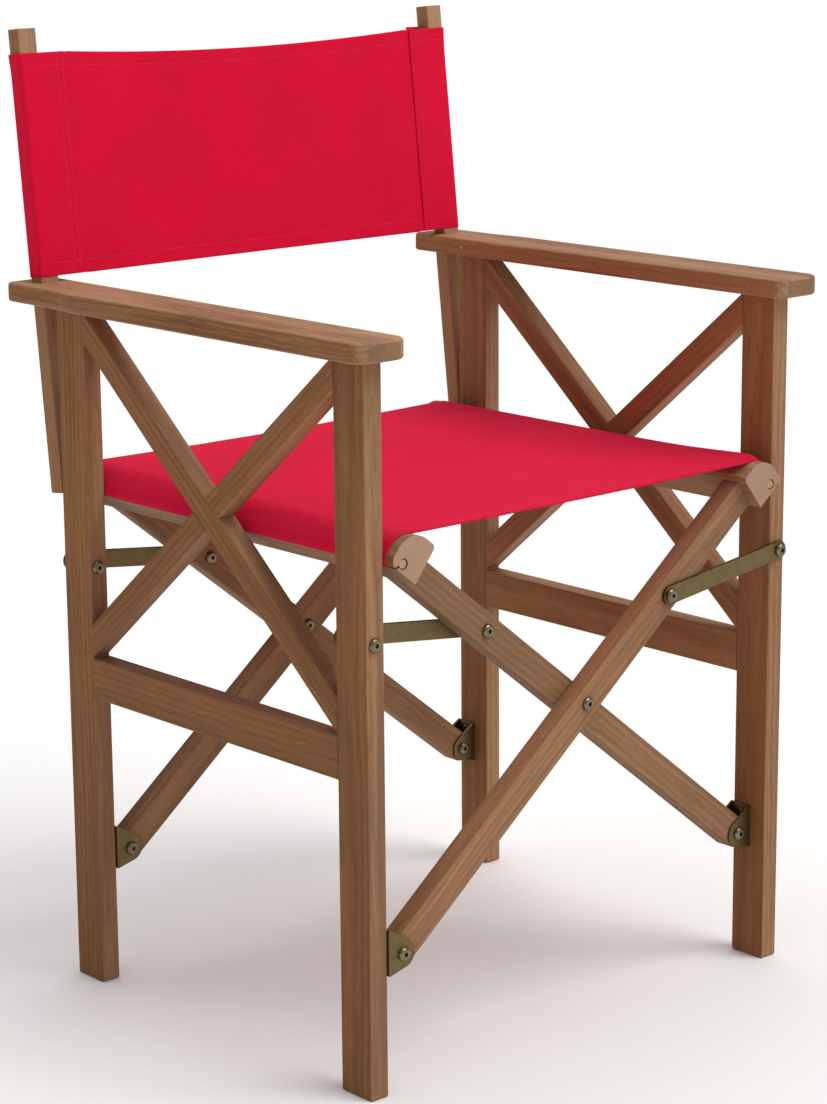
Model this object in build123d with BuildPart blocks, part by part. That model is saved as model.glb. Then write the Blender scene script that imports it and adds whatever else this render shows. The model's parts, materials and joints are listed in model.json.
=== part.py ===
from build123d import *
from math import atan2, cos, degrees, hypot, radians, sin, tan
import os

# A folding director's chair. Millimetres. X runs to the sitter's left (the viewer's right), the front
# faces -Y, Z is up, and the chair stands open on Z = 0.

# Side frames
FRAME_Y = -21.1            # middle of the side frames, so that the origin lies under the whole chair
LEG_OUTER_X = 266.0
LEG_WIDTH = 20.0           # along X
LEG_DEPTH = 40.0           # along Y
LEG_HEIGHT = 658.0
LEG_REACH = 197.0          # from FRAME_Y to the middle of a leg
LEG_INNER_X = LEG_OUTER_X - LEG_WIDTH
LEG_MIDDLE_X = LEG_OUTER_X - LEG_WIDTH / 2
RAIL_BOTTOM_Z = 286.0
RAIL_TOP_Z = 325.0
BRACE_WIDTH = 23.6
BRACE_ANGLE = 40.2
BRACE_CROSS_Z = 492.5
WOOD_ROUNDING = 1.6        # softened long edges
FOOT_CHAMFER = 1.0

# Armrests
ARM_THICKNESS = 18.0
ARM_INNER_X = 231.0
ARM_OUTER_X = 289.0
ARM_FRONT = -238.0         # from FRAME_Y
ARM_REAR = 272.0
ARM_TAPER = 4.5            # the outer edge steps in towards the back
ARM_TAPER_START = 165.0
ARM_TAPER_END = 205.0
ARM_FRONT_RADIUS = 16.0
ARM_REAR_RADIUS = 8.0
ARM_ROUNDING = 3.0
PIN_RADIUS = 1.6
PIN_LENGTH = 22.0

# Back posts
POST_WIDTH = 20.0
POST_DEPTH = 17.0
POST_BOTTOM_Z = 478.0
POST_TOP_Z = 909.0
POST_TILT = 6.15           # leans back
POST_LEAN = 0.25           # leans in
POST_BOTTOM_X = 257.0
POST_SLOT_GAP = 0.3
POST_SLOT_LENGTH = 454.5    # of the cutter, from the post's foot, past the armrest
POST_SCREW_Z = 500.0
POST_SCREW_BITE = 22.0     # of the screw in the leg
POST_SCREW_HEAD_STEP = 1.5 # from the leg to the head's seat, past the post's depth

# Scissor
PIVOT_X = 229.0
PIVOT_Z = 129.0
CENTRE_Z = 310.2
SCISSOR_WIDTH = 29.0
SCISSOR_THICKNESS = 19.5
SCISSOR_STEP = 10.25       # half the distance between the two crossing legs' middles
SCISSOR_TOP = 266.0        # from the centre pivot, along the leg
SCISSOR_REACH = hypot(PIVOT_X, CENTRE_Z - PIVOT_Z)
SCISSOR_ANGLE = degrees(atan2(CENTRE_Z - PIVOT_Z, PIVOT_X))

# Seat rails, in the scissor leg's own axes: u along the leg, v across it
SEAT_RAIL_REACH = 228.0    # from FRAME_Y to each end
SEAT_RAIL_OUTER_V = -18.0
SEAT_RAIL_INNER_V = 20.0
SEAT_RAIL_TOP = 302.0
SEAT_RAIL_CORNER = 8.0     # radius of the outer top corner
SEAT_RAIL_CROWN = 23.0     # radius of the rounded top
SEAT_RAIL_EDGE = 4.0       # radius of the inner bottom corner
GROOVE_U = 289.0
GROOVE_V = -10.5
GROOVE_RADIUS = 5.0
GROOVE_ANGLE = -55.0
GROOVE_SLOT = 2.6
DOWEL_RADIUS = 4.0

# Links
LINK_WIDTH = 18.0
LINK_THICKNESS = 3.0
LINK_GAP = 0.2
LINK_LEG_X = 257.0
LINK_LEG_Z = 412.5
LINK_REACH = 135.0         # from the centre pivot, along the scissor leg

# Brackets
BRACKET_BOTTOM_Z = 112.0
BRACKET_TOP_Z = 154.0
BRACKET_PLATE = 1.6
BRACKET_EAR = 2.0
BRACKET_NOSE = 13.0
BRACKET_GAP = 0.3
BRACKET_SCREW_Z = (118.0, 146.0)

# Fasteners
BOLT_RADIUS = 3.0
BOLT_CLEARANCE = 0.05
HEAD_RADIUS = 6.5
HEAD_HEIGHT = 3.5
HEAD_DOME = 2.6            # radius of the domed edge
SOCKET_ACROSS = 4.0
SOCKET_DEPTH = 2.2
NUT_ACROSS = 10.0
NUT_HEIGHT = 4.0
NUT_CHAMFER = 0.6
WASHER_RADIUS = 8.0
WASHER_THICKNESS = 0.8
SCREW_RADIUS = 1.9
SCREW_HEAD_RADIUS = 3.2
SCREW_HEAD_HEIGHT = 1.4
SCREW_HEAD_DOME = 0.8      # radius of its domed edge
SCREW_SOCKET = 1.3         # radius of its hexagon socket
SCREW_SOCKET_DEPTH = 0.8
SCREW_LENGTH = 15.0
LINK_ROUNDING = 0.6

# Canvas
CANVAS = 0.8
CANVAS_GAP = 0.2
CANVAS_START = 6.5         # from the groove's middle, where the seat canvas leaves its dowel
SEAT_REACH = 218.0         # from FRAME_Y to the front and rear hems
BACK_BOTTOM_Z = 681.0
BACK_TOP_Z = 886.0
BACK_SAG = 7.5

SIDES = {-1: "left", 1: "right"}
ENDS = {-1: "front", 1: "rear"}


def across(y):
    """Plane across the chair at y: local x is X, local y is Z."""
    return Plane(origin=(0, y, 0), x_dir=(1, 0, 0), z_dir=(0, -1, 0))


def leg_plane(side, y):
    """Plane of the scissor leg whose top is on that side: local x runs up the leg from the centre."""
    angle = radians(SCISSOR_ANGLE)
    return Plane(
        origin=(0, y, CENTRE_Z),
        x_dir=(side * cos(angle), 0, sin(angle)),
        z_dir=(0, -side, 0),
    )


def back_plane(offset=0.0):
    """Plane of the tilted back: local x is X, local y runs up the posts."""
    tilt = radians(POST_TILT)
    middle_y = FRAME_Y + LEG_REACH + LEG_DEPTH / 2 + POST_DEPTH / 2 * cos(tilt)
    plane = Plane(
        origin=(0, middle_y, POST_BOTTOM_Z),
        x_dir=(1, 0, 0),
        z_dir=(0, -cos(tilt), sin(tilt)),
    )
    return plane.offset(offset)


def along_post(z):
    """Distance up the back plane to a height."""
    return (z - POST_BOTTOM_Z) / cos(radians(POST_TILT))


def post_x(z):
    """Middle of the right post at a height."""
    return POST_BOTTOM_X - along_post(z) * tan(radians(POST_LEAN))


def leg_y(end):
    return FRAME_Y + end * LEG_REACH


def scissor_y(side, end):
    """Middle of a scissor leg along Y. The legs rising to the right stand in front."""
    return FRAME_Y + end * LEG_REACH - side * SCISSOR_STEP


def link_y(side, end):
    """Middle of a link along Y: on the outside of the leg that it stays, away from the crossing."""
    return leg_y(end) - side * (LEG_DEPTH / 2 + LINK_GAP + LINK_THICKNESS / 2)


def link_top(side):
    """Link bolt on the scissor leg, in X and Z."""
    angle = radians(SCISSOR_ANGLE)
    return side * LINK_REACH * cos(angle), CENTRE_Z + LINK_REACH * sin(angle)


def y_cylinder(radius, front, rear, x, z, mode=Mode.ADD):
    """Round bar along Y, from front to rear."""
    with Locations(Location((x, (front + rear) / 2, z), (90, 0, 0))):
        Cylinder(radius, rear - front, mode=mode)


def bolt_head():
    """Domed head with a hexagon socket, standing out to the front of its bolt's own origin."""
    with BuildPart(across(0)) as head:
        Cylinder(HEAD_RADIUS, HEAD_HEIGHT, align=(Align.CENTER, Align.CENTER, Align.MIN))
        fillet(head.edges().sort_by(Axis.Y)[0], HEAD_DOME)
        with BuildSketch(across(-HEAD_HEIGHT)):
            RegularPolygon(SOCKET_ACROSS / 2, 6, major_radius=False)
        extrude(amount=-SOCKET_DEPTH, mode=Mode.SUBTRACT)
    return head.part


def screw_head():
    """Small pan head with a hexagon socket, standing out along +X of its own origin."""
    with BuildPart(Plane.YZ) as head:
        Cylinder(SCREW_HEAD_RADIUS, SCREW_HEAD_HEIGHT, align=(Align.CENTER, Align.CENTER, Align.MIN))
        fillet(head.edges().sort_by(Axis.X)[-1], SCREW_HEAD_DOME)
        with BuildSketch(Plane.YZ.offset(SCREW_HEAD_HEIGHT)):
            RegularPolygon(SCREW_SOCKET, 6)
        extrude(amount=-SCREW_SOCKET_DEPTH, mode=Mode.SUBTRACT)
    return head.part


def hex_nut():
    """Hexagon nut standing out to the rear of its bolt's own origin."""
    with BuildPart() as nut:
        with BuildSketch(across(0)):
            RegularPolygon(NUT_ACROSS / 2, 6, major_radius=False)
        extrude(amount=-NUT_HEIGHT)
        chamfer(nut.faces().sort_by(Axis.Y)[-1].edges(), NUT_CHAMFER)
    return nut.part


def make_leg(side, end):
    name = f"leg_{ENDS[end]}_{SIDES[side]}"
    with BuildPart() as leg:
        with Locations((side * LEG_MIDDLE_X, leg_y(end), LEG_HEIGHT / 2)):
            Box(LEG_WIDTH, LEG_DEPTH, LEG_HEIGHT)
        fillet(leg.edges().filter_by(Axis.Z), WOOD_ROUNDING)
        chamfer(leg.faces().sort_by(Axis.Z)[0].edges(), FOOT_CHAMFER)
        half = LEG_DEPTH / 2 + 1
        y_cylinder(BOLT_RADIUS, leg_y(end) - half, leg_y(end) + half, side * LINK_LEG_X, LINK_LEG_Z,
                   mode=Mode.SUBTRACT)
        if end > 0:
            y_cylinder(SCREW_RADIUS, leg_y(end) + LEG_DEPTH / 2 - POST_SCREW_BITE, leg_y(end) + LEG_DEPTH,
                       side * post_x(POST_SCREW_Z), POST_SCREW_Z, mode=Mode.SUBTRACT)
        pivot_y = scissor_y(-side, end)
        for z in BRACKET_SCREW_Z:
            with Locations(Location((side * LEG_INNER_X, pivot_y, z), (0, 90, 0))):
                Cylinder(SCREW_RADIUS, 2 * SCREW_LENGTH, mode=Mode.SUBTRACT)
    leg.part.label = name
    export_step(leg.part, f"parts/{name}.step")


def make_low_rail(side):
    name = f"low_rail_{SIDES[side]}"
    length = 2 * LEG_REACH - LEG_DEPTH
    height = RAIL_TOP_Z - RAIL_BOTTOM_Z
    with BuildPart() as rail:
        with Locations((side * LEG_MIDDLE_X, FRAME_Y, (RAIL_TOP_Z + RAIL_BOTTOM_Z) / 2)):
            Box(LEG_WIDTH, length, height)
        fillet(rail.edges().filter_by(Axis.Y), WOOD_ROUNDING)
    rail.part.label = name
    export_step(rail.part, f"parts/{name}.step")


def make_brace(side, angle, kind, lap_side):
    """One brace of the cross. It is halved where it meets the other one, on its lap_side along X."""
    name = f"brace_{kind}_{SIDES[side]}"
    middle_x = side * LEG_MIDDLE_X
    lap_x = middle_x + lap_side * LEG_WIDTH / 4
    window_y = 2 * LEG_REACH - LEG_DEPTH
    window_z = LEG_HEIGHT - RAIL_TOP_Z
    with BuildPart() as brace:
        with Locations(Location((middle_x, FRAME_Y, BRACE_CROSS_Z), (angle, 0, 0))):
            Box(LEG_WIDTH, 4 * LEG_REACH, BRACE_WIDTH)
        fillet(brace.edges().group_by(SortBy.LENGTH)[-1], WOOD_ROUNDING)
        with Locations((middle_x, FRAME_Y, RAIL_TOP_Z + window_z / 2)):
            Box(LEG_WIDTH, window_y, window_z, mode=Mode.INTERSECT)
        with Locations(Location((lap_x, FRAME_Y, BRACE_CROSS_Z), (-angle, 0, 0))):
            Box(LEG_WIDTH / 2, 4 * LEG_REACH, BRACE_WIDTH, mode=Mode.SUBTRACT)
    brace.part.label = name
    export_step(brace.part, f"parts/{name}.step")


def make_arm(side):
    name = f"arm_{SIDES[side]}"
    front = FRAME_Y + ARM_FRONT
    rear = FRAME_Y + ARM_REAR
    outline = [
        (side * ARM_INNER_X, front),
        (side * ARM_OUTER_X, front),
        (side * ARM_OUTER_X, FRAME_Y + ARM_TAPER_START),
        (side * (ARM_OUTER_X - ARM_TAPER), FRAME_Y + ARM_TAPER_END),
        (side * (ARM_OUTER_X - ARM_TAPER), rear),
        (side * ARM_INNER_X, rear),
    ]
    with BuildPart() as arm:
        with BuildSketch(Plane.XY.offset(LEG_HEIGHT)) as plan:
            with BuildLine():
                Polyline(*outline, close=True)
            make_face()
            ends = plan.vertices().sort_by(Axis.Y)
            fillet(ends[:2], ARM_FRONT_RADIUS)
            ends = plan.vertices().sort_by(Axis.Y)
            fillet(ends[-2:], ARM_REAR_RADIUS)
        extrude(amount=ARM_THICKNESS)
        fillet(arm.faces().filter_by(Axis.Z).edges(), ARM_ROUNDING)
        with BuildSketch(back_plane()):
            with Locations((side * POST_BOTTOM_X, 0)):
                with Locations(Location((0, 0, 0), (0, 0, side * POST_LEAN))):
                    with Locations((0, POST_SLOT_LENGTH / 2)):
                        Rectangle(POST_WIDTH + 2 * POST_SLOT_GAP, POST_SLOT_LENGTH)
        extrude(amount=POST_DEPTH / 2 + POST_SLOT_GAP, both=True, mode=Mode.SUBTRACT)
        for end in ENDS:
            with Locations(Location((side * ARM_INNER_X, leg_y(end), LEG_HEIGHT + ARM_THICKNESS / 2),
                                    (0, 90, 0))):
                Cylinder(PIN_RADIUS, 2 * PIN_LENGTH, mode=Mode.SUBTRACT)
    arm.part.label = name
    export_step(arm.part, f"parts/{name}.step")


def make_arm_pins(side):
    """Small pins that lock the armrest to the legs, set flush in its inner edge."""
    name = f"arm_pins_{SIDES[side]}"
    with BuildPart() as pins:
        for end in ENDS:
            middle_x = side * (ARM_INNER_X + PIN_LENGTH / 2)
            with Locations(Location((middle_x, leg_y(end), LEG_HEIGHT + ARM_THICKNESS / 2), (0, 90, 0))):
                Cylinder(PIN_RADIUS, PIN_LENGTH)
    pins.part.label = name
    export_step(pins.part, f"parts/{name}.step")


def make_post(side):
    name = f"back_post_{SIDES[side]}"
    length = along_post(POST_TOP_Z) / cos(radians(POST_LEAN))
    with BuildPart() as post:
        with BuildSketch(back_plane()):
            with Locations((side * POST_BOTTOM_X, 0)):
                with Locations(Location((0, 0, 0), (0, 0, side * POST_LEAN))):
                    with Locations((0, length / 2)):
                        Rectangle(POST_WIDTH, length)
        extrude(amount=POST_DEPTH / 2, both=True)
        fillet([edge for edge in post.edges() if edge.length > length / 2], WOOD_ROUNDING)
        fillet(post.faces().sort_by(Axis.Z)[-1].edges(), WOOD_ROUNDING / 2)
        screw_y = FRAME_Y + LEG_REACH
        screw_x = side * post_x(POST_SCREW_Z)
        y_cylinder(SCREW_RADIUS, screw_y, screw_y + 2 * LEG_DEPTH, screw_x, POST_SCREW_Z,
                   mode=Mode.SUBTRACT)
        y_cylinder(SCREW_HEAD_RADIUS, screw_y + LEG_DEPTH / 2 + POST_DEPTH + POST_SCREW_HEAD_STEP,
                   screw_y + 2 * LEG_DEPTH, screw_x, POST_SCREW_Z, mode=Mode.SUBTRACT)
    post.part.label = name
    export_step(post.part, f"parts/{name}.step")


def make_post_screw(side):
    """Screw that holds the foot of the back post to the rear leg."""
    name = f"post_screw_{SIDES[side]}"
    leg_back = FRAME_Y + LEG_REACH + LEG_DEPTH / 2
    post_back = leg_back + POST_DEPTH + POST_SCREW_HEAD_STEP
    x = side * post_x(POST_SCREW_Z)
    with BuildPart() as screw:
        y_cylinder(SCREW_RADIUS, leg_back - POST_SCREW_BITE, post_back, x, POST_SCREW_Z)
        y_cylinder(SCREW_HEAD_RADIUS, post_back, post_back + SCREW_HEAD_HEIGHT, x, POST_SCREW_Z)
        fillet(screw.edges().sort_by(Axis.Y)[-1], SCREW_HEAD_DOME)
    screw.part.label = name
    export_step(screw.part, f"parts/{name}.step")


def make_bracket(side, end):
    """Steel bracket on the inside of a leg: a base plate and two ears that hold the scissor leg's foot."""
    name = f"bracket_{ENDS[end]}_{SIDES[side]}"
    middle = scissor_y(-side, end)
    ear_inside = SCISSOR_THICKNESS / 2 + BRACKET_GAP
    height = BRACKET_TOP_Z - BRACKET_BOTTOM_Z
    base_x = side * (LEG_INNER_X - BRACKET_PLATE / 2)
    with BuildPart() as bracket:
        with BuildSketch(across(middle)):
            with Locations((side * PIVOT_X, PIVOT_Z)):
                Circle(BRACKET_NOSE)
            with Locations((base_x, BRACKET_BOTTOM_Z + height / 2)):
                Rectangle(BRACKET_PLATE, height)
            make_hull()
        extrude(amount=ear_inside + BRACKET_EAR, both=True)
        with Locations((side * (LEG_INNER_X - BRACKET_PLATE) - side * LEG_WIDTH * 2, middle, PIVOT_Z)):
            Box(LEG_WIDTH * 4, 2 * ear_inside, height * 2, mode=Mode.SUBTRACT)
        y_cylinder(BOLT_RADIUS, middle - LEG_DEPTH, middle + LEG_DEPTH, side * PIVOT_X, PIVOT_Z,
                   mode=Mode.SUBTRACT)
        for z in BRACKET_SCREW_Z:
            with Locations(Location((side * LEG_INNER_X, middle, z), (0, 90, 0))):
                Cylinder(SCREW_RADIUS, 2 * SCREW_LENGTH, mode=Mode.SUBTRACT)
    bracket.part.label = name
    export_step(bracket.part, f"parts/{name}.step")


def make_bracket_screws(side):
    """The screws of one side's two brackets."""
    name = f"bracket_screws_{SIDES[side]}"
    turn = 0 if side < 0 else 180
    face_x = side * (LEG_INNER_X - BRACKET_PLATE)
    with BuildPart() as screws:
        for end in ENDS:
            for z in BRACKET_SCREW_Z:
                y = scissor_y(-side, end)
                add(SCREW_HEAD.moved(Location((face_x, y, z), (0, 0, turn))))
                with Locations(Location((face_x + side * SCREW_LENGTH / 2, y, z), (0, 90, 0))):
                    Cylinder(SCREW_RADIUS, SCREW_LENGTH)
    screws.part.label = name
    export_step(screws.part, f"parts/{name}.step")


def make_pivot_bolts(side):
    """The two bottom pivot bolts of one side frame, each with its nut."""
    name = f"pivot_bolts_{SIDES[side]}"
    half = SCISSOR_THICKNESS / 2 + BRACKET_GAP + BRACKET_EAR
    x = side * PIVOT_X
    with BuildPart() as bolts:
        for end in ENDS:
            middle = scissor_y(-side, end)
            y_cylinder(BOLT_RADIUS, middle - half, middle + half, x, PIVOT_Z)
            add(BOLT_HEAD.moved(Location((x, middle - half, PIVOT_Z))))
            add(HEX_NUT.moved(Location((x, middle + half, PIVOT_Z))))
    bolts.part.label = name
    export_step(bolts.part, f"parts/{name}.step")


def make_link_leg_bolts(side):
    """The bolts that carry one side's links on the legs of the side frame."""
    name = f"link_leg_bolts_{SIDES[side]}"
    stack = 2 * LINK_GAP + LINK_THICKNESS
    with BuildPart() as bolts:
        for end in ENDS:
            front = leg_y(end) - LEG_DEPTH / 2
            rear = leg_y(end) + LEG_DEPTH / 2
            if side > 0:
                front -= stack
            else:
                rear += stack
            x = side * LINK_LEG_X
            y_cylinder(BOLT_RADIUS, front, rear, x, LINK_LEG_Z)
            add(BOLT_HEAD.moved(Location((x, front, LINK_LEG_Z))))
            add(HEX_NUT.moved(Location((x, rear, LINK_LEG_Z))))
    bolts.part.label = name
    export_step(bolts.part, f"parts/{name}.step")


def make_scissor_leg(side, end):
    name = f"scissor_{'a' if side > 0 else 'b'}_{ENDS[end]}"
    middle = scissor_y(side, end)
    with BuildPart() as leg:
        with BuildSketch(leg_plane(side, middle)):
            with Locations(((SCISSOR_TOP - SCISSOR_REACH) / 2 + WOOD_ROUNDING, 0)):
                Rectangle(SCISSOR_TOP + SCISSOR_REACH + 2 * WOOD_ROUNDING, SCISSOR_WIDTH)
            with Locations((-SCISSOR_REACH, 0)):
                Circle(SCISSOR_WIDTH / 2)
        extrude(amount=SCISSOR_THICKNESS / 2, both=True)
        fillet(leg.faces().filter_by(Axis.Y).edges(), WOOD_ROUNDING)
        with BuildSketch(leg_plane(side, middle)):
            with Locations((SCISSOR_TOP + SCISSOR_WIDTH, 0)):
                Rectangle(2 * SCISSOR_WIDTH, 2 * SCISSOR_WIDTH)
        extrude(amount=SCISSOR_THICKNESS, both=True, mode=Mode.SUBTRACT)
        x, z = link_top(side)
        for hole_x, hole_z, gap in (
            (-side * PIVOT_X, PIVOT_Z, BOLT_CLEARANCE),
            (0, CENTRE_Z, BOLT_CLEARANCE),
            (x, z, 0),
        ):
            y_cylinder(BOLT_RADIUS + gap, middle - LEG_DEPTH, middle + LEG_DEPTH, hole_x, hole_z,
                       mode=Mode.SUBTRACT)
    leg.part.label = name
    export_step(leg.part, f"parts/{name}.step")


def make_centre_bolts():
    """The two bolts that the scissor turns on, each with its nut behind both legs."""
    with BuildPart() as bolts:
        for end in ENDS:
            front = scissor_y(1, end) - SCISSOR_THICKNESS / 2
            rear = scissor_y(-1, end) + SCISSOR_THICKNESS / 2 + LINK_GAP
            y_cylinder(BOLT_RADIUS, front, rear, 0, CENTRE_Z)
            add(BOLT_HEAD.moved(Location((0, front, CENTRE_Z))))
            add(HEX_NUT.moved(Location((0, rear, CENTRE_Z))))
    bolts.part.label = "centre_bolts"
    export_step(bolts.part, "parts/centre_bolts.step")


def make_centre_washers():
    """Washers that keep the crossing legs apart."""
    with BuildPart() as washers:
        for end in ENDS:
            front = scissor_y(1, end) + SCISSOR_THICKNESS / 2
            y_cylinder(WASHER_RADIUS, front, front + WASHER_THICKNESS, 0, CENTRE_Z)
            y_cylinder(BOLT_RADIUS, front - 1, front + WASHER_THICKNESS + 1, 0, CENTRE_Z, mode=Mode.SUBTRACT)
    washers.part.label = "centre_washers"
    export_step(washers.part, "parts/centre_washers.step")


def make_seat_rail(side):
    """Hardwood rail along the top of two scissor legs, with a groove for the canvas's dowel."""
    name = f"seat_rail_{SIDES[side]}"
    corner_u = SEAT_RAIL_TOP - SEAT_RAIL_CORNER
    corner_v = SEAT_RAIL_OUTER_V + SEAT_RAIL_CORNER
    crown_u = SEAT_RAIL_TOP - SEAT_RAIL_CROWN
    crown_v = SEAT_RAIL_INNER_V - SEAT_RAIL_CROWN
    edge_u = SCISSOR_TOP + SEAT_RAIL_EDGE
    edge_v = SEAT_RAIL_INNER_V - SEAT_RAIL_EDGE
    with BuildPart() as rail:
        with BuildSketch(leg_plane(side, FRAME_Y)):
            with BuildLine():
                Line((crown_u, SEAT_RAIL_INNER_V), (edge_u, SEAT_RAIL_INNER_V))
                CenterArc((edge_u, edge_v), SEAT_RAIL_EDGE, 90, 90)
                Polyline(
                    (SCISSOR_TOP, edge_v),
                    (SCISSOR_TOP, SEAT_RAIL_OUTER_V),
                    (corner_u, SEAT_RAIL_OUTER_V),
                )
                CenterArc((corner_u, corner_v), SEAT_RAIL_CORNER, -90, 90)
                Line((SEAT_RAIL_TOP, corner_v), (SEAT_RAIL_TOP, crown_v))
                CenterArc((crown_u, crown_v), SEAT_RAIL_CROWN, 0, 90)
            make_face()
            with Locations((GROOVE_U, GROOVE_V)):
                Circle(GROOVE_RADIUS, mode=Mode.SUBTRACT)
            with Locations(Location((GROOVE_U, GROOVE_V, 0), (0, 0, GROOVE_ANGLE))):
                Rectangle(GROOVE_RADIUS * 3, GROOVE_SLOT, align=(Align.MIN, Align.CENTER),
                          mode=Mode.SUBTRACT)
        extrude(amount=SEAT_RAIL_REACH, both=True)
    rail.part.label = name
    export_step(rail.part, f"parts/{name}.step")


def make_dowel(side):
    """Loose dowel that locks the hem of the seat canvas in the rail's groove."""
    name = f"seat_dowel_{SIDES[side]}"
    with BuildPart() as dowel:
        with BuildSketch(leg_plane(side, FRAME_Y)):
            with Locations((GROOVE_U, GROOVE_V)):
                Circle(DOWEL_RADIUS)
        extrude(amount=SEAT_RAIL_REACH - 1, both=True)
    dowel.part.label = name
    export_step(dowel.part, f"parts/{name}.step")


def make_scissor_pins(side):
    """The link bolts' shanks that stay in one pair of scissor legs."""
    name = f"scissor_link_pins_{'a' if side > 0 else 'b'}"
    x, z = link_top(side)
    with BuildPart() as pins:
        for end in ENDS:
            front = scissor_y(side, end) - SCISSOR_THICKNESS / 2
            rear = scissor_y(side, end) + SCISSOR_THICKNESS / 2
            y_cylinder(BOLT_RADIUS, front, rear, x, z)
            if side > 0:
                add(HEX_NUT.moved(Location((x, rear, z))))
            else:
                add(BOLT_HEAD.moved(Location((x, front, z))))
    pins.part.label = name
    export_step(pins.part, f"parts/{name}.step")


def make_link(side, end):
    """Flat steel link between a leg and the scissor leg that rises towards it."""
    name = f"link_{ENDS[end]}_{SIDES[side]}"
    top_x, top_z = link_top(side)
    leg_x = side * LINK_LEG_X
    length = hypot(top_x - leg_x, top_z - LINK_LEG_Z)
    slope = degrees(atan2(top_z - LINK_LEG_Z, top_x - leg_x))
    middle = link_y(side, end)
    with BuildPart() as link:
        with BuildSketch(across(middle)):
            with Locations(Location(((top_x + leg_x) / 2, (top_z + LINK_LEG_Z) / 2, 0), (0, 0, slope))):
                SlotCenterToCenter(length, LINK_WIDTH)
        extrude(amount=LINK_THICKNESS / 2, both=True)
        fillet(link.faces().filter_by(Axis.Y).edges(), LINK_ROUNDING)
        for x, z, gap in ((leg_x, LINK_LEG_Z, BOLT_CLEARANCE), (top_x, top_z, 0)):
            y_cylinder(BOLT_RADIUS + gap, middle - LEG_DEPTH, middle + LEG_DEPTH, x, z, mode=Mode.SUBTRACT)
    link.part.label = name
    export_step(link.part, f"parts/{name}.step")


def make_link_cap(side, end):
    """The end of the scissor leg's link bolt that goes with the link: a head, or a nut on a short stub."""
    name = f"link_cap_{ENDS[end]}_{SIDES[side]}"
    x, z = link_top(side)
    front = link_y(side, end) - LINK_THICKNESS / 2
    rear = link_y(side, end) + LINK_THICKNESS / 2
    with BuildPart() as cap:
        y_cylinder(BOLT_RADIUS, front, rear, x, z)
        if side > 0:
            add(BOLT_HEAD.moved(Location((x, front, z))))
        else:
            add(HEX_NUT.moved(Location((x, rear, z))))
    cap.part.label = name
    export_step(cap.part, f"parts/{name}.step")


def make_seat_sling():
    """Canvas from one seat rail to the other, over both rails and into their grooves."""
    lift = CANVAS_GAP + CANVAS / 2
    angle = radians(SCISSOR_ANGLE)
    corner_u = SEAT_RAIL_TOP - SEAT_RAIL_CORNER
    corner_v = SEAT_RAIL_OUTER_V + SEAT_RAIL_CORNER
    crown_u = SEAT_RAIL_TOP - SEAT_RAIL_CROWN
    crown_v = SEAT_RAIL_INNER_V - SEAT_RAIL_CROWN
    in_groove = (
        GROOVE_U + CANVAS_START * cos(radians(GROOVE_ANGLE)),
        GROOVE_V + CANVAS_START * sin(radians(GROOVE_ANGLE)),
    )
    crest_x = crown_u * cos(angle) - crown_v * sin(angle)
    crest_z = CENTRE_Z + crown_u * sin(angle) + crown_v * cos(angle) + SEAT_RAIL_CROWN + lift
    with BuildPart() as sling:
        for side in SIDES:
            with BuildSketch(leg_plane(side, FRAME_Y)):
                with BuildLine():
                    Line(in_groove, (corner_u, SEAT_RAIL_OUTER_V - lift))
                    CenterArc((corner_u, corner_v), SEAT_RAIL_CORNER + lift, -90, 90)
                    Line((SEAT_RAIL_TOP + lift, corner_v), (SEAT_RAIL_TOP + lift, crown_v))
                    CenterArc((crown_u, crown_v), SEAT_RAIL_CROWN + lift, 0, 90 - SCISSOR_ANGLE)
                trace(line_width=CANVAS)
            extrude(amount=SEAT_REACH, both=True)
        with Locations((0, FRAME_Y, crest_z)):
            Box(2 * crest_x, 2 * SEAT_REACH, CANVAS)
    sling.part.label = "seat_sling"
    export_step(sling.part, "parts/seat_sling.step")


def make_back_sleeve(side):
    """Sewn sleeve of the back canvas, around its post."""
    name = f"back_sleeve_{SIDES[side]}"
    low = along_post(BACK_BOTTOM_Z)
    high = along_post(BACK_TOP_Z)
    inner_width = POST_WIDTH + 2 * CANVAS_GAP
    inner_depth = POST_DEPTH + 2 * CANVAS_GAP
    with BuildPart() as sleeve:
        with BuildSketch(back_plane()):
            with Locations(Location((side * POST_BOTTOM_X, 0, 0), (0, 0, side * POST_LEAN))):
                with Locations((0, (low + high) / 2)):
                    Rectangle(inner_width + 2 * CANVAS, high - low)
        extrude(amount=inner_depth / 2 + CANVAS, both=True)
        with BuildSketch(back_plane()):
            with Locations(Location((side * POST_BOTTOM_X, 0, 0), (0, 0, side * POST_LEAN))):
                with Locations((0, (low + high) / 2)):
                    Rectangle(inner_width, high)
        extrude(amount=inner_depth / 2, both=True, mode=Mode.SUBTRACT)
    sleeve.part.label = name
    export_step(sleeve.part, f"parts/{name}.step")


def make_back_panel():
    """Canvas between the two sleeves, in line with their front layers."""
    low = along_post(BACK_BOTTOM_Z)
    high = along_post(BACK_TOP_Z)
    clear = POST_WIDTH / 2 + CANVAS_GAP + CANVAS + CANVAS_GAP
    low_x = post_x(BACK_BOTTOM_Z) - clear
    high_x = post_x(BACK_TOP_Z) - clear
    front_layer = back_plane(POST_DEPTH / 2 + CANVAS_GAP)
    with BuildPart() as panel:
        with BuildSketch(front_layer):
            with BuildLine():
                Polyline((-high_x, high), (-low_x, low), (low_x, low), (high_x, high))
                ThreePointArc((high_x, high), (0, high - BACK_SAG), (-high_x, high))
            make_face()
        extrude(amount=CANVAS)
    panel.part.label = "back_panel"
    export_step(panel.part, "parts/back_panel.step")


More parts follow.
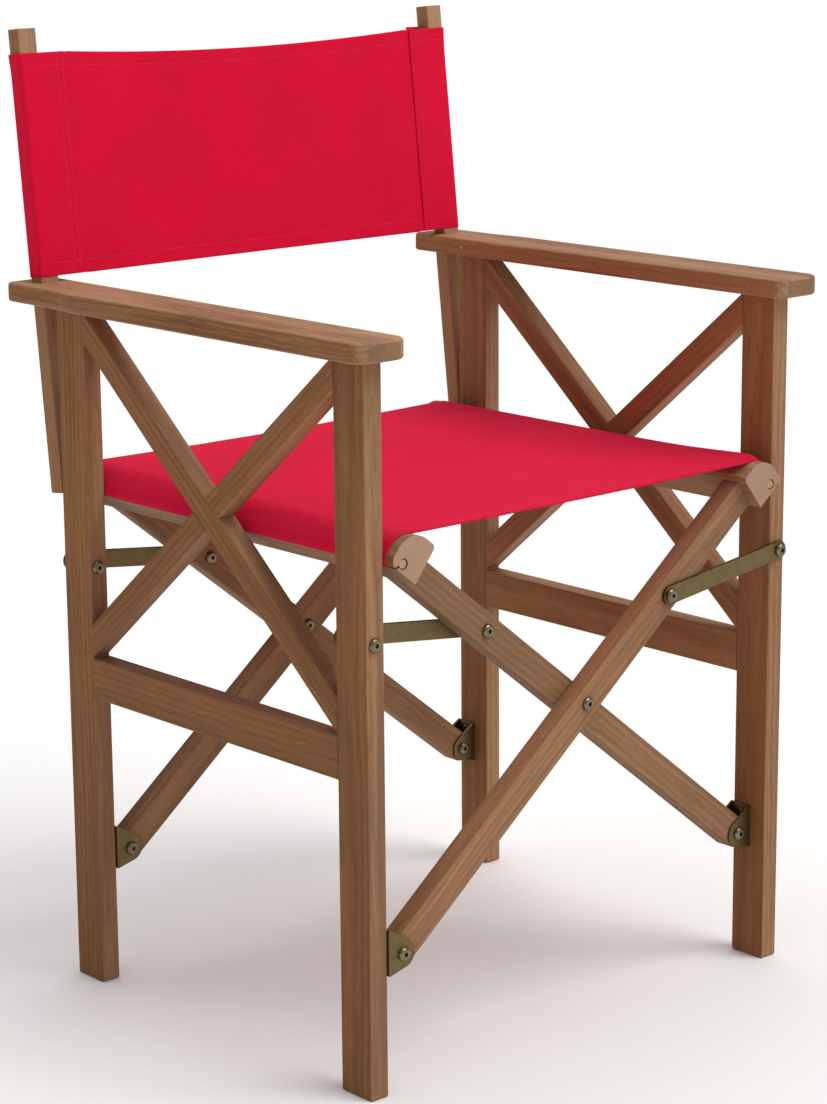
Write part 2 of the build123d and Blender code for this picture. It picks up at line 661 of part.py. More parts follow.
os.makedirs("parts", exist_ok=True)
BOLT_HEAD = bolt_head()
SCREW_HEAD = screw_head()
HEX_NUT = hex_nut()
for side in SIDES:
    for end in ENDS:
        make_leg(side, end)
        make_bracket(side, end)
        make_scissor_leg(side, end)
        make_link(side, end)
        make_link_cap(side, end)
    make_low_rail(side)
    make_brace(side, -BRACE_ANGLE, "front", lap_side=-1)
    make_brace(side, BRACE_ANGLE, "rear", lap_side=1)
    make_arm(side)
    make_arm_pins(side)
    make_post(side)
    make_post_screw(side)
    make_bracket_screws(side)
    make_pivot_bolts(side)
    make_link_leg_bolts(side)
    make_scissor_pins(side)
    make_seat_rail(side)
    make_dowel(side)
    make_back_sleeve(side)
make_centre_bolts()
make_centre_washers()
make_seat_sling()
make_back_panel()
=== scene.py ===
"""A folding director's chair in oiled hardwood and red canvas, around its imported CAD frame. Metres."""

import json
import math
import random

import bmesh
import bpy
from mathutils import Matrix, Vector, noise


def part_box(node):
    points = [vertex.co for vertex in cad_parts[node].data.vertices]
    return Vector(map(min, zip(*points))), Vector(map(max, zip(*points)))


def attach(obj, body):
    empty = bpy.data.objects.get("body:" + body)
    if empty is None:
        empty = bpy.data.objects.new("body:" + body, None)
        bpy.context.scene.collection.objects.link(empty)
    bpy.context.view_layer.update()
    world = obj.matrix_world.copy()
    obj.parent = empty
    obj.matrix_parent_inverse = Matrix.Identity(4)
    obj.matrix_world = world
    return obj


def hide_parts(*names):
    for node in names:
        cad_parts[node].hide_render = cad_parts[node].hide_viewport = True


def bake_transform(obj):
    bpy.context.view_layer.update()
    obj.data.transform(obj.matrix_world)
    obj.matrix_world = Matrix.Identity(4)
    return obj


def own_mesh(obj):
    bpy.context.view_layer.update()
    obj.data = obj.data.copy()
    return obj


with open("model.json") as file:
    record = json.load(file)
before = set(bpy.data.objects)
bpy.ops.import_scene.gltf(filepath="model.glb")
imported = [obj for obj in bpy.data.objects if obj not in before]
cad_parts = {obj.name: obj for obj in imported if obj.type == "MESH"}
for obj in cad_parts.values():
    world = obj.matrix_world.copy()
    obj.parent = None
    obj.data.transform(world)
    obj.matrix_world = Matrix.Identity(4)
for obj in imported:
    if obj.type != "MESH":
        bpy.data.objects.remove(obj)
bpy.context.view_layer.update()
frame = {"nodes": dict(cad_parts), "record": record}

SIDES = {-1: "left", 1: "right"}
MM = 0.001

# ---------------------------------------------------------------- places read from the frame


def middle(node):
    low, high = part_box(node)
    return (Vector(low) + Vector(high)) / 2


FRAME_Y = (middle("leg_front_left").y + middle("leg_rear_left").y) / 2
joint = {j["name"]: j for j in frame["record"]["behaviour"]["joints"]}
PIVOT = Vector(joint["fold"]["pos_m"])
CENTRE = Vector(joint["scissor_cross"]["pos_m"])
SCISSOR_ANGLE = math.atan2(CENTRE.z - PIVOT.z, CENTRE.x - PIVOT.x)

# ---------------------------------------------------------------- camera, light, floor

CAMERA_PLACE = Vector((-1.8908, -2.0805 + FRAME_Y, 1.0756))
CAMERA_YAW = 42.02       # degrees, from +Y towards +X
CAMERA_PITCH = -13.216
CAMERA_ROLL = -0.455
CAMERA_LENS = 98.72
ROOM_LIGHT = 0.42
FLOOR_HALF = 12.0
FLOOR_Z = -0.0005         # just under the feet


def make_camera():
    data = bpy.data.cameras.new("camera")
    data.lens = CAMERA_LENS
    data.sensor_fit = "VERTICAL"
    data.sensor_height = 36.0
    data.clip_start = 0.05
    data.clip_end = 60.0
    camera = bpy.data.objects.new("camera", data)
    bpy.context.scene.collection.objects.link(camera)
    yaw, pitch, roll = (math.radians(a) for a in (CAMERA_YAW, CAMERA_PITCH, CAMERA_ROLL))
    ahead = Vector((math.sin(yaw) * math.cos(pitch), math.cos(yaw) * math.cos(pitch), math.sin(pitch)))
    right = ahead.cross(Vector((0, 0, 1))).normalized()
    up = right.cross(ahead)
    turned_right = right * math.cos(roll) + up * math.sin(roll)
    turned_up = up * math.cos(roll) - right * math.sin(roll)
    rotation = Matrix((turned_right, turned_up, -ahead)).transposed()
    camera.matrix_world = Matrix.Translation(CAMERA_PLACE) @ rotation.to_4x4()
    bpy.context.scene.camera = camera


def make_sun(name, towards, strength, spread, colour):
    """A wide soft light from far away. towards points to it."""
    data = bpy.data.lights.new(name, "SUN")
    data.energy = strength
    data.angle = math.radians(spread)
    data.color = colour
    light = bpy.data.objects.new(name, data)
    bpy.context.scene.collection.objects.link(light)
    light.rotation_euler = Vector(towards).to_track_quat("Z", "Y").to_euler()
    light.location = Vector(towards) * 3


def make_studio():
    bpy.context.scene.view_settings.view_transform = "Standard"
    world = bpy.data.worlds.new("studio")
    bpy.context.scene.world = world
    world.use_nodes = True
    tree = world.node_tree
    background = tree.nodes["Background"]
    background.inputs["Color"].default_value = (1.0, 1.0, 1.0, 1.0)
    # the wall behind the chair is lit brighter than the room
    rays = tree.nodes.new("ShaderNodeLightPath")
    strength = tree.nodes.new("ShaderNodeMapRange")
    strength.inputs["To Min"].default_value = ROOM_LIGHT
    strength.inputs["To Max"].default_value = 1.0
    tree.links.new(rays.outputs["Is Camera Ray"], strength.inputs["Value"])
    tree.links.new(strength.outputs[0], background.inputs["Strength"])
    make_sun("key", (0.30, -0.62, 0.90), 1.75, 40, (1.0, 0.985, 0.96))
    make_sun("top", (0.15, 0.25, 1.0), 1.15, 70, (1.0, 1.0, 1.0))
    mesh = bpy.data.meshes.new("floor")
    half = FLOOR_HALF
    corners = [(-half, -half, 0), (half, -half, 0), (half, half, 0), (-half, half, 0)]
    mesh.from_pydata(corners, [], [(0, 1, 2, 3)])
    floor = bpy.data.objects.new("floor", mesh)
    bpy.context.scene.collection.objects.link(floor)
    floor.location.z = FLOOR_Z
    material = bpy.data.materials.new("floor")
    material.use_nodes = True
    shader = material.node_tree.nodes["Principled BSDF"]
    shader.inputs["Base Color"].default_value = (0.86, 0.86, 0.86, 1)
    shader.inputs["Roughness"].default_value = 0.9
    mesh.materials.append(material)


# ---------------------------------------------------------------- materials

SIDE_FACE_PAINTED_SHADE = (0.86, 0.71, 0.54)     # painted shade: multiplies the wood's colour on its side faces
THREAD_PITCH = 0.0011               # one wave of the canvas's weave
BRACE_SLOPE = math.radians(40.2)
POST_GRAIN_TILT = math.radians(5.7)
FIRST_SEED = 11
RIGHT_FRAME_PAINTED_LIGHT = 0.05                   # painted light: the right frame's wood is made a little paler, as if lit more strongly


class Nodes:
    """A short way to write a material's nodes."""

    def __init__(self, name):
        self.material = bpy.data.materials.new(name)
        self.material.use_nodes = True
        self.tree = self.material.node_tree
        self.shader = self.tree.nodes["Principled BSDF"]

    def add(self, kind, **settings):
        """settings: a property by its name, or an input by its name with in_ before it."""
        node = self.tree.nodes.new(kind)
        for key, value in settings.items():
            if key.startswith("in_"):
                socket = node.inputs[key[3:].replace("_", " ")]
                if isinstance(value, bpy.types.NodeSocket):
                    self.tree.links.new(value, socket)
                else:
                    socket.default_value = value
            else:
                setattr(node, key, value)
        return node

    def math(self, operation, a, b=None):
        node = self.tree.nodes.new("ShaderNodeMath")
        node.operation = operation
        for socket, value in zip(node.inputs, (a, b)):
            if isinstance(value, bpy.types.NodeSocket):
                self.tree.links.new(value, socket)
            elif value is not None:
                socket.default_value = value
        return node.outputs[0]

    def ramp(self, value, stops):
        node = self.tree.nodes.new("ShaderNodeValToRGB")
        elements = node.color_ramp.elements
        for _ in range(len(stops) - 2):
            elements.new(0.5)
        for element, (place, colour) in zip(elements, stops):
            element.position = place
            element.color = (*colour, 1) if hasattr(colour, "__len__") else (colour, colour, colour, 1)
        self.tree.links.new(value, node.inputs[0])
        return node.outputs[0]

    def mix(self, factor, a, b, kind="MIX"):
        node = self.tree.nodes.new("ShaderNodeMix")
        node.data_type = "RGBA"
        node.blend_type = kind
        for socket, value in ((node.inputs[0], factor), (node.inputs[6], a), (node.inputs[7], b)):
            if isinstance(value, bpy.types.NodeSocket):
                self.tree.links.new(value, socket)
            else:
                socket.default_value = (*value, 1) if hasattr(value, "__len__") else value
        return node.outputs[2]

    def mapped(self, source, rotation=(0, 0, 0), place=(0, 0, 0), scale=(1, 1, 1)):
        node = self.add("ShaderNodeMapping", in_Vector=source)
        node.inputs["Rotation"].default_value = rotation
        node.inputs["Location"].default_value = place
        node.inputs["Scale"].default_value = scale
        return node.outputs[0]

    def bump(self, height, strength, distance, normal=None):
        node = self.add("ShaderNodeBump", in_Height=height, in_Strength=strength, in_Distance=distance)
        if normal is not None:
            self.tree.links.new(normal, node.inputs["Normal"])
        return node.outputs[0]

    def set(self, name, value):
        socket = self.shader.inputs[name]
        if isinstance(value, bpy.types.NodeSocket):
            self.tree.links.new(value, socket)
        else:
            socket.default_value = value


def teak(name, grain, seed, tone=0.0, weathering_and_sheen=0.0, end_tone=0.0, redness=0.0):
    """Oiled hardwood. grain is the direction of the fibres. Each piece has its own place in the tree."""
    pick = random.Random(seed)
    n = Nodes(name)
    coordinates = n.add("ShaderNodeTexCoord")
    source = coordinates.outputs["Object"]
    turn = Vector(grain).rotation_difference(Vector((0, 0, 1))).to_euler()
    offset = (pick.uniform(0.12, 0.3), pick.uniform(0.05, 0.25), pick.uniform(-3, 3))
    along = n.mapped(source, rotation=turn, place=offset)
    # the fibres wander a little
    warp = n.add("ShaderNodeTexNoise", in_Vector=n.mapped(along, scale=(1, 1, 0.3)), in_Scale=9.0,
                 in_Detail=3.0, in_Roughness=0.55).outputs["Color"]
    shift = n.add("ShaderNodeVectorMath", operation="SUBTRACT")
    n.tree.links.new(warp, shift.inputs[0])
    shift.inputs[1].default_value = (0.5, 0.5, 0.5)
    scaled = n.add("ShaderNodeVectorMath", operation="MULTIPLY")
    n.tree.links.new(shift.outputs[0], scaled.inputs[0])
    scaled.inputs[1].default_value = (0.022, 0.022, 0.0)
    bent = n.add("ShaderNodeVectorMath", operation="ADD")
    n.tree.links.new(along, bent.inputs[0])
    n.tree.links.new(scaled.outputs[0], bent.inputs[1])
    bent = bent.outputs[0]
    rings = n.add("ShaderNodeTexWave", wave_type="RINGS", rings_direction="Z", wave_profile="SIN",
                  in_Vector=bent, in_Scale=48.0, in_Distortion=1.2, in_Detail=3.0,
                  in_Detail_Scale=2.0).outputs["Fac"]
    fibre = n.add("ShaderNodeTexNoise", in_Vector=n.mapped(bent, scale=(700, 700, 14)),
                  in_Scale=1.0, in_Detail=5.0, in_Roughness=0.65).outputs["Fac"]
    streak = n.add("ShaderNodeTexNoise", in_Vector=n.mapped(bent, scale=(210, 210, 3.2)),
                   in_Scale=1.0, in_Detail=4.0, in_Roughness=0.6).outputs["Fac"]
    broad = n.add("ShaderNodeTexNoise", in_Vector=n.mapped(bent, scale=(55, 55, 1.3)),
                  in_Scale=1.0, in_Detail=2.0).outputs["Fac"]
    cloud = n.add("ShaderNodeTexNoise", in_Vector=n.mapped(along, scale=(12, 12, 3.5)), in_Scale=1.0,
                  in_Detail=3.0).outputs["Fac"]
    pores = n.add("ShaderNodeTexNoise", in_Vector=n.mapped(bent, scale=(950, 950, 60)),
                  in_Scale=1.0, in_Detail=2.0).outputs["Fac"]
    pore = n.ramp(pores, [(0.555, 0.0), (0.67, 1.0)])
    value = n.math("ADD", n.math("MULTIPLY", rings, 0.12), n.math("MULTIPLY", streak, 0.40))
    value = n.math("ADD", value, n.math("MULTIPLY", fibre, 0.50))
    value = n.math("ADD", value, n.math("MULTIPLY", n.math("SUBTRACT", broad, 0.5), 0.38))
    value = n.math("ADD", value, n.math("MULTIPLY", n.math("SUBTRACT", cloud, 0.5), 0.42))
    value = n.math("ADD", value, tone + pick.uniform(-0.03, 0.03))
    red = pick.uniform(-0.012, 0.012) + redness
    colour = n.ramp(value, [
        (0.33, (0.066 + red, 0.020, 0.006)),
        (0.45, (0.150 + red, 0.056, 0.019)),
        (0.55, (0.232 + red, 0.101, 0.038)),
        (0.71, (0.350 + red, 0.180, 0.082)),
    ])
    colour = n.mix(n.math("MULTIPLY", pore, 0.52), colour, (0.072, 0.027, 0.010))
    # pale patches: partly real weathering, partly a painted sheen standing in for the lowered specular, most
    # of all on the arm tops
    if weathering_and_sheen:
        patches = n.ramp(n.math("ADD", n.math("MULTIPLY", cloud, 0.5), n.math("MULTIPLY", fibre, 0.5)),
                         [(0.36, 0.35), (0.62, 1.0)])
        colour = n.mix(n.math("MULTIPLY", patches, weathering_and_sheen), colour, (0.47, 0.300, 0.205))
    # edges and corners are rubbed paler
    edge = n.add("ShaderNodeNewGeometry").outputs["Pointiness"]
    rubbed = n.ramp(edge, [(0.505, 0.0), (0.56, 1.0)])
    colour = n.mix(n.math("MULTIPLY", rubbed, 0.40), colour, (0.42, 0.25, 0.145))
    # painted shade: this mask makes the faces towards the sides (±X) darker and redder than the fronts and
    # tops, standing in for their weaker light and missing sheen
    sideways = n.add("ShaderNodeSeparateXYZ", in_Vector=coordinates.outputs["Normal"]).outputs["X"]
    oiled = n.ramp(n.math("ABSOLUTE", sideways), [(0.75, 0.0), (0.92, 1.0)])
    colour = n.mix(oiled, colour, SIDE_FACE_PAINTED_SHADE, "MULTIPLY")
    # sawn ends: no streaks, only speckled pores
    facing = n.add("ShaderNodeVectorMath", operation="DOT_PRODUCT")
    n.tree.links.new(coordinates.outputs["Normal"], facing.inputs[0])
    facing.inputs[1].default_value = Vector(grain).normalized()
    end = n.ramp(n.math("ABSOLUTE", facing.outputs["Value"]), [(0.93, 0.0), (0.97, 1.0)])
    speckle = n.add("ShaderNodeTexNoise", in_Vector=source, in_Scale=900.0, in_Detail=3.0).outputs["Fac"]
    sawn = n.ramp(n.math("ADD", n.math("MULTIPLY", speckle, 0.6), n.math("MULTIPLY", cloud, 0.4)), [
        (0.36, (0.17 + end_tone, 0.09 + end_tone * 0.72, 0.048 + end_tone * 0.55)),
        (0.62, (0.29 + end_tone, 0.17 + end_tone * 0.72, 0.098 + end_tone * 0.55)),
    ])
    colour = n.mix(end, colour, sawn)
    n.set("Base Color", colour)
    n.set("Roughness", n.ramp(fibre, [(0.3, 0.66), (0.7, 0.50)]))
    n.set("Specular IOR Level", 0.09)
    grain_bump = n.bump(fibre, 0.25, 0.0004)
    n.set("Normal", n.bump(n.math("SUBTRACT", 1.0, pore), 0.35, 0.0003, grain_bump))
    return n.material


def canvas(name, across, along, light, blue):
    """Plain-woven cotton canvas. across and along are the directions of the two sets of threads."""
    n = Nodes(name)
    source = n.add("ShaderNodeTexCoord").outputs["Object"]
    threads = []
    for direction in (across, along):
        axis = Vector(direction)
        turn = axis.rotation_difference(Vector((1, 0, 0))).to_euler()
        placed = n.mapped(source, rotation=turn)
        wobble = n.add("ShaderNodeTexNoise", in_Vector=placed, in_Scale=90.0, in_Detail=2.0).outputs["Fac"]
        place = n.add("ShaderNodeSeparateXYZ", in_Vector=placed).outputs[0]
        phase = n.math("ADD", n.math("MULTIPLY", place, 2 * math.pi / THREAD_PITCH),
                       n.math("MULTIPLY", wobble, 5.0))
        threads.append(n.math("SINE", phase))
    weave = n.math("MULTIPLY", threads[0], threads[1])
    relief = n.math("MAXIMUM", n.math("ABSOLUTE", threads[0]), n.math("ABSOLUTE", threads[1]))
    slub = n.add("ShaderNodeTexNoise", in_Vector=n.mapped(source, scale=(260, 260, 260)), in_Scale=1.0,
                 in_Detail=3.0).outputs["Fac"]
    mottle = n.add("ShaderNodeTexNoise", in_Vector=source, in_Scale=14.0, in_Detail=4.0,
                   in_Roughness=0.6).outputs["Fac"]
    value = n.math("ADD", n.math("MULTIPLY", weave, 0.14), n.math("MULTIPLY", slub, 0.45))
    value = n.math("ADD", value, n.math("MULTIPLY", mottle, 0.35))
    colour = n.ramp(value, [
        (0.25, (0.52 + light, 0.0035, 0.021 + blue)),
        (0.50, (0.61 + light, 0.0050, 0.028 + blue)),
        (0.78, (0.69 + light, 0.0085, 0.038 + blue)),
    ])
    n.set("Base Color", colour)
    n.set("Roughness", n.ramp(slub, [(0.3, 0.92), (0.7, 0.80)]))
    n.set("Specular IOR Level", 0.06)
    n.set("Sheen Weight", 0.10)
    n.set("Sheen Roughness", 0.5)
    n.set("Sheen Tint", (1.0, 0.35, 0.50, 1.0))
    height = n.math("ADD", n.math("MULTIPLY", relief, 0.6), n.math("MULTIPLY", weave, 0.4))
    weave_bump = n.bump(height, 0.35, 0.0003)
    n.set("Normal", n.bump(slub, 0.14, 0.0004, weave_bump))
    return n.material


def metal(name, dark, bright, worn, roughness, brushed=(1, 1, 1), spots=0.35):
    """Plated steel: a mottled plating with fine brushing and rubbed edges."""
    n = Nodes(name)
    source = n.add("ShaderNodeTexCoord").outputs["Object"]
    mottle = n.add("ShaderNodeTexNoise", in_Vector=source, in_Scale=120.0, in_Detail=4.0,
                   in_Roughness=0.65).outputs["Fac"]
    brush = n.add("ShaderNodeTexNoise", in_Vector=n.mapped(source, scale=brushed), in_Scale=900.0,
                  in_Detail=2.0).outputs["Fac"]
    value = n.math("ADD", n.math("MULTIPLY", mottle, 0.7), n.math("MULTIPLY", brush, 0.3))
    colour = n.ramp(value, [(0.5 - spots / 2, dark), (0.5 + spots / 2, bright)])
    edge = n.add("ShaderNodeNewGeometry").outputs["Pointiness"]
    rubbed = n.ramp(edge, [(0.51, 0.0), (0.58, 1.0)])
    colour = n.mix(n.math("MULTIPLY", rubbed, 0.5), colour, worn)
    n.set("Base Color", colour)
    n.set("Metallic", 1.0)
    n.set("Roughness", n.ramp(value, [(0.3, roughness + 0.08), (0.7, roughness - 0.08)]))
    n.set("Normal", n.bump(brush, 0.12, 0.0002))
    return n.material


def thread_material():
    n = Nodes("thread")
    source = n.add("ShaderNodeTexCoord").outputs["Object"]
    twist = n.add("ShaderNodeTexNoise", in_Vector=source, in_Scale=1600.0, in_Detail=2.0).outputs["Fac"]
    n.set("Base Color", n.ramp(twist, [(0.35, (0.42, 0.006, 0.018)), (0.65, (0.70, 0.02, 0.05))]))
    n.set("Roughness", 0.6)
    n.set("Sheen Weight", 0.2)
    n.set("Normal", n.bump(twist, 0.4, 0.0002))
    return n.material


def set_material(node, material):
    """The same material in every slot of a CAD node."""
    mesh = frame["nodes"][node].data
    if not mesh.materials:
        mesh.materials.append(material)
    for index in range(len(mesh.materials)):
        mesh.materials[index] = material


def dress_wood():
    fibres = {
        "leg": (0, 0, 1),
        "low_rail": (0, 1, 0),
        "arm": (0, 1, 0),
        "seat_rail": (0, 1, 0),
        "seat_dowel": (0, 1, 0),
        "brace_front": (0, -math.cos(BRACE_SLOPE), math.sin(BRACE_SLOPE)),
        "brace_rear": (0, math.cos(BRACE_SLOPE), math.sin(BRACE_SLOPE)),
        "back_post": (0, math.sin(POST_GRAIN_TILT), math.cos(POST_GRAIN_TILT)),
        "scissor_a": (math.cos(SCISSOR_ANGLE), 0, math.sin(SCISSOR_ANGLE)),
        "scissor_b": (-math.cos(SCISSOR_ANGLE), 0, math.sin(SCISSOR_ANGLE)),
    }
    tones = {"arm": 0.05, "back_post": 0.05, "seat_rail": 0.03, "seat_dowel": 0.20, "low_rail": 0.01}
    # how much pale patching each kind gets: real weathering, and partly painted sheen
    weathering_and_sheen_by_kind = {"arm": 0.42, "back_post": 0.50, "seat_dowel": 0.5, "low_rail": 0.15}
    sawn_ends = {"seat_rail": 0.16, "back_post": 0.14, "seat_dowel": 0.22}
    reddish = {"brace_front_right": 0.06, "arm_right": 0.03, "leg_front_right": 0.02}
    wooden = [name for name in frame["nodes"] if name.startswith(tuple(fibres))]
    wooden = [name for name in wooden if not name.startswith("arm_pins")]
    for seed, node in enumerate(sorted(wooden)):
        kind = next(key for key in fibres if node.startswith(key))
        # the right frame's pieces are painted paler, as painted light
        tone = tones.get(kind, 0.0) + RIGHT_FRAME_PAINTED_LIGHT * node.endswith("right")
        material = teak("teak_" + node, fibres[kind], seed + FIRST_SEED, tone, weathering_and_sheen_by_kind.get(kind, 0.0),
                        sawn_ends.get(kind, 0.0), reddish.get(node, 0.0))
        set_material(node, material)


def dress_metal():
    plated = metal("olive_plating", (0.054, 0.033, 0.007), (0.126, 0.088, 0.023), (0.28, 0.21, 0.105),
                   0.48, brushed=(1, 1, 6))
    zinc = metal("zinc_plating", (0.090, 0.070, 0.042), (0.300, 0.255, 0.170), (0.36, 0.32, 0.23),
                 0.32, spots=0.45)
    for node in frame["nodes"]:
        if node.startswith(("bracket_front", "bracket_rear", "link_front", "link_rear")):
            set_material(node, plated)
        elif node.startswith(("bracket_screws", "link_", "pivot_bolts", "centre_", "post_screw",
                              "scissor_link_pins", "arm_pins")):
            set_material(node, zinc)


# ---------------------------------------------------------------- canvas

CLOTH = 0.8 * MM
LIFT = 0.6 * MM          # from the wood to the middle of the cloth
HEM = 14 * MM
STITCH = 3.2 * MM
STITCH_GAP = 1.2 * MM
STITCH_THICKNESS = 0.55 * MM
# a stitch's rings: place along it, width and height as shares of its own
STITCH_RINGS = ((0.0, 0.35, -0.4), (0.2, 0.9, 0.35), (0.5, 1.0, 0.6), (0.8, 0.9, 0.35), (1.0, 0.35, -0.4))
NEAR_STEP = 0.9 * MM     # between points of a cloth's grid, by its hems
FAR_STEP = 6 * MM        # and between them
HEM_ROW = HEM - 2 * MM   # from the cut edge to the hem's stitches


def smooth_object(name, mesh, material):
    """The bmesh as a smooth-shaded object of one material."""
    bmesh.ops.recalc_face_normals(mesh, faces=mesh.faces)
    data = bpy.data.meshes.new(name)
    mesh.to_mesh(data)
    mesh.free()
    for polygon in data.polygons:
        polygon.use_smooth = True
    thing = bpy.data.objects.new(name, data)
    bpy.context.scene.collection.objects.link(thing)
    data.materials.append(material)
    return thing


def steps(length, near, far, edge=HEM + 6 * MM):
    """Places along a length, near apart within the edge zones and far apart between them."""
    zone = [edge * k / round(edge / near) for k in range(round(edge / near) + 1)]
    inner = length - 2 * edge
    count = round(inner / far)
    return zone + [edge + inner * k / count for k in range(1, count)] + [length - z for z in reversed(zone)]


def surface_normals(grid):
    """Unit normal at every point of a grid of points."""
    rows, columns = len(grid), len(grid[0])
    normals = []
    for j in range(rows):
        line = []
        for i in range(columns):
            along = grid[j][min(i + 1, columns - 1)] - grid[j][max(i - 1, 0)]
            up = grid[min(j + 1, rows - 1)][i] - grid[max(j - 1, 0)][i]
            line.append(along.cross(up).normalized())
        normals.append(line)
    return normals


def cloth_piece(name, grid, extra, material):
    """Closed cloth round a grid of points. extra(j, i) is added to the back, as the turned-in hem is."""
    rows, columns = len(grid), len(grid[0])
    normals = surface_normals(grid)
    front = [[grid[j][i] + normals[j][i] * CLOTH / 2 for i in range(columns)] for j in range(rows)]
    back = [[grid[j][i] - normals[j][i] * (CLOTH / 2 + extra(j, i)) for i in range(columns)]
            for j in range(rows)]
    mesh = bmesh.new()
    front_verts = [[mesh.verts.new(p) for p in line] for line in front]
    back_verts = [[mesh.verts.new(p) for p in line] for line in back]
    for j in range(rows - 1):
        for i in range(columns - 1):
            mesh.faces.new((front_verts[j][i], front_verts[j][i + 1], front_verts[j + 1][i + 1],
                            front_verts[j + 1][i]))
            mesh.faces.new((back_verts[j][i], back_verts[j + 1][i], back_verts[j + 1][i + 1],
                            back_verts[j][i + 1]))
    border = [(0, i) for i in range(columns)] + [(j, columns - 1) for j in range(1, rows)]
    border += [(rows - 1, i) for i in range(columns - 2, -1, -1)] + [(j, 0) for j in range(rows - 2, 0, -1)]
    rim = []
    for j, i in border:
        inner_j, inner_i = min(max(j, 1), rows - 2), min(max(i, 1), columns - 2)
        out = (grid[j][i] - grid[inner_j][inner_i]).normalized()
        thick = (front[j][i] - back[j][i]).length
        rim.append(mesh.verts.new((front[j][i] + back[j][i]) / 2 + out * thick * 0.4))
    for k, (j, i) in enumerate(border):
        next_k = (k + 1) % len(border)
        nj, ni = border[next_k]
        mesh.faces.new((front_verts[nj][ni], front_verts[j][i], rim[k], rim[next_k]))
        mesh.faces.new((rim[next_k], rim[k], back_verts[j][i], back_verts[nj][ni]))
    return smooth_object(name, mesh, material)


def stitches(name, rows, material):
    """Thread that shows as short rounded stitches. rows are lists of (point, normal) along each seam."""
    mesh = bmesh.new()
    for row in rows:
        lengths = [0.0]
        for (a, _), (b, _) in zip(row, row[1:]):
            lengths.append(lengths[-1] + (b - a).length)

        def at(distance):
            k = max(j for j in range(len(lengths)) if lengths[j] <= distance)
            k = min(k, len(row) - 2)
            part = (distance - lengths[k]) / (lengths[k + 1] - lengths[k])
            return row[k][0].lerp(row[k + 1][0], part), row[k][1].lerp(row[k + 1][1], part).normalized()

        start = STITCH
        while start + STITCH < lengths[-1]:
            rings = []
            for part, width, height in STITCH_RINGS:
                point, normal = at(start + STITCH * part)
                ahead = (at(start + STITCH)[0] - at(start)[0]).normalized()
                side = ahead.cross(normal)
                centre = point + normal * STITCH_THICKNESS * height * 0.5
                radius = STITCH_THICKNESS / 2 * width
                rings.append([mesh.verts.new(centre + (side * math.cos(a) + normal * math.sin(a)) * radius)
                              for a in (math.radians(45 * k) for k in range(8))])
            for ring, following in zip(rings, rings[1:]):
                for k in range(8):
                    mesh.faces.new((ring[k], ring[(k + 1) % 8], following[(k + 1) % 8], following[k]))
            mesh.faces.new(list(reversed(rings[0])))
            mesh.faces.new(rings[-1])
            start += STITCH + STITCH_GAP
    return smooth_object(name, mesh, material)


def grid_row(grid, normals, j, columns):
    """A seam along a row of a grid, on its front."""
    return [(grid[j][i] + normals[j][i] * CLOTH / 2, normals[j][i]) for i in columns]


def grid_column(grid, normals, i, rows):
    return [(grid[j][i] + normals[j][i] * CLOTH / 2, normals[j][i]) for j in rows]


def nearest(values, wanted):
    return min(range(len(values)), key=lambda k: abs(values[k] - wanted))


def hem_extra(places, length):
    """The hem's second and third layers, by the distance from the nearest cut edge."""
    def extra(place):
        distance = min(places[place], length - places[place])
        return CLOTH * 1.3 * max(0.0, min(1.0, (HEM - distance) / (1.2 * MM)))
    return extra


def pucker(distance, along):
    """Small dents of the cloth under a row of stitches."""
    near = math.exp(-((distance - HEM + 2 * MM) / (1.6 * MM)) ** 2)
    return -0.28 * MM * near * (0.6 + 0.4 * math.cos(2 * math.pi * along / (STITCH + STITCH_GAP)))


def path_points(path, places):
    """Points of a polyline at given distances along it."""
    points = []
    k, passed = 0, 0.0
    for place in places:
        while k < len(path) - 2 and place > passed + (path[k + 1] - path[k]).length:
            passed += (path[k + 1] - path[k]).length
            k += 1
        length = (path[k + 1] - path[k]).length
        points.append(path[k].lerp(path[k + 1], (place - passed) / length))
    return points


def path_length(path):
    return sum((b - a).length for a, b in zip(path, path[1:]))


def arc(centre, radius, start, turn, steps_count=8):
    """Points of an arc in a plane, angles in degrees."""
    angles = [math.radians(start + turn * k / steps_count) for k in range(steps_count + 1)]
    return [Vector((centre[0] + radius * math.cos(a), centre[1] + radius * math.sin(a))) for a in angles]


def seat_half():
    """Right half of the seat canvas's section in X and Z, from round its dowel to the rail's crown."""
    rail_top, corner, crown = 302 * MM, 8 * MM, 23 * MM
    outer, inner = -18 * MM, 20 * MM
    groove, slope = Vector((289 * MM, -10.5 * MM)), -55
    out = Vector((math.cos(math.radians(slope)), math.sin(math.radians(slope))))
    path = arc(groove, 4.5 * MM, slope - 335, 300, 28)
    path += [groove + out * 7.4 * MM]
    path += arc((rail_top - corner, outer + corner), corner + LIFT, -90, 90)
    path += arc((rail_top - crown, inner - crown), crown + LIFT, 0, 90 - math.degrees(SCISSOR_ANGLE), 14)
    cos, sin = math.cos(SCISSOR_ANGLE), math.sin(SCISSOR_ANGLE)
    return [Vector((p.x * cos - p.y * sin, CENTRE.z + p.x * sin + p.y * cos)) for p in path]


